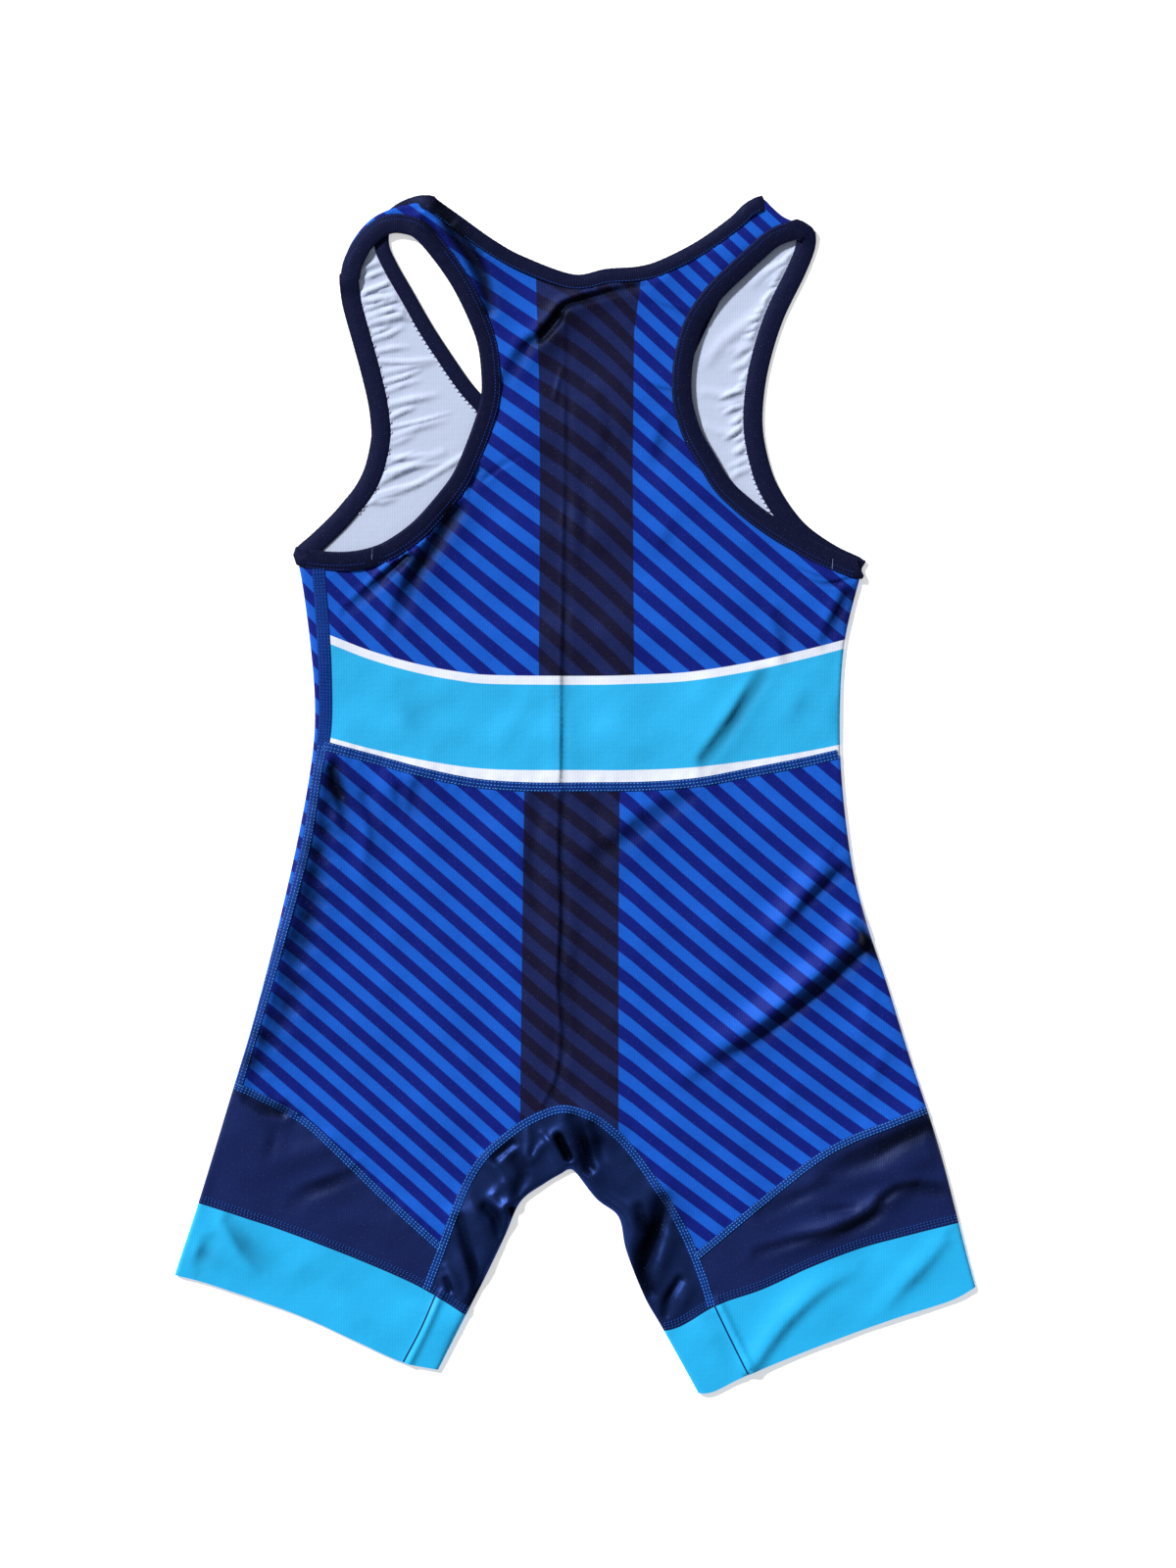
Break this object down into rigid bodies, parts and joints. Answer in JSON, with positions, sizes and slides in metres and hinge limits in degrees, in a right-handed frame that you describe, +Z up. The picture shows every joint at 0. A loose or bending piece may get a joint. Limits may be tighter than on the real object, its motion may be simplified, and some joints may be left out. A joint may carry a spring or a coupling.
{
  "type": "wrestling singlet, laid flat",
  "caption": "Knitted one-piece sports garment with racer-shaped armholes, a scooped neck and short legs, laid flat with its back up.",
  "frame": {"origin": "on the surface that the garment lies on, under the middle of its bounding box", "axes": "+Y along the garment towards the neck, +Z up out of its back, +X to the right as seen from above"},
  "size_m": [0.5062, 0.757, 0.0068],
  "materials": {
    "striped_knit": "smooth stretch knit with diagonal stripes",
    "dark_knit": "smooth stretch knit",
    "satin_knit": "shiny stretch knit",
    "bright_knit": "smooth stretch knit",
    "binding_knit": "folded stretch binding"
  },
  "bodies": {
    "root": {"upper_back": "striped_knit", "lower_back": "striped_knit", "upper_front": "striped_knit", "lower_front": "striped_knit", "leg_panel_left": "dark_knit", "leg_panel_right": "dark_knit", "gusset": "satin_knit", "cuff_left": "bright_knit", "cuff_right": "bright_knit", "neck_binding": "binding_knit", "armhole_binding_left": "binding_knit", "armhole_binding_right": "binding_knit"}
  },
  "joints": []
}
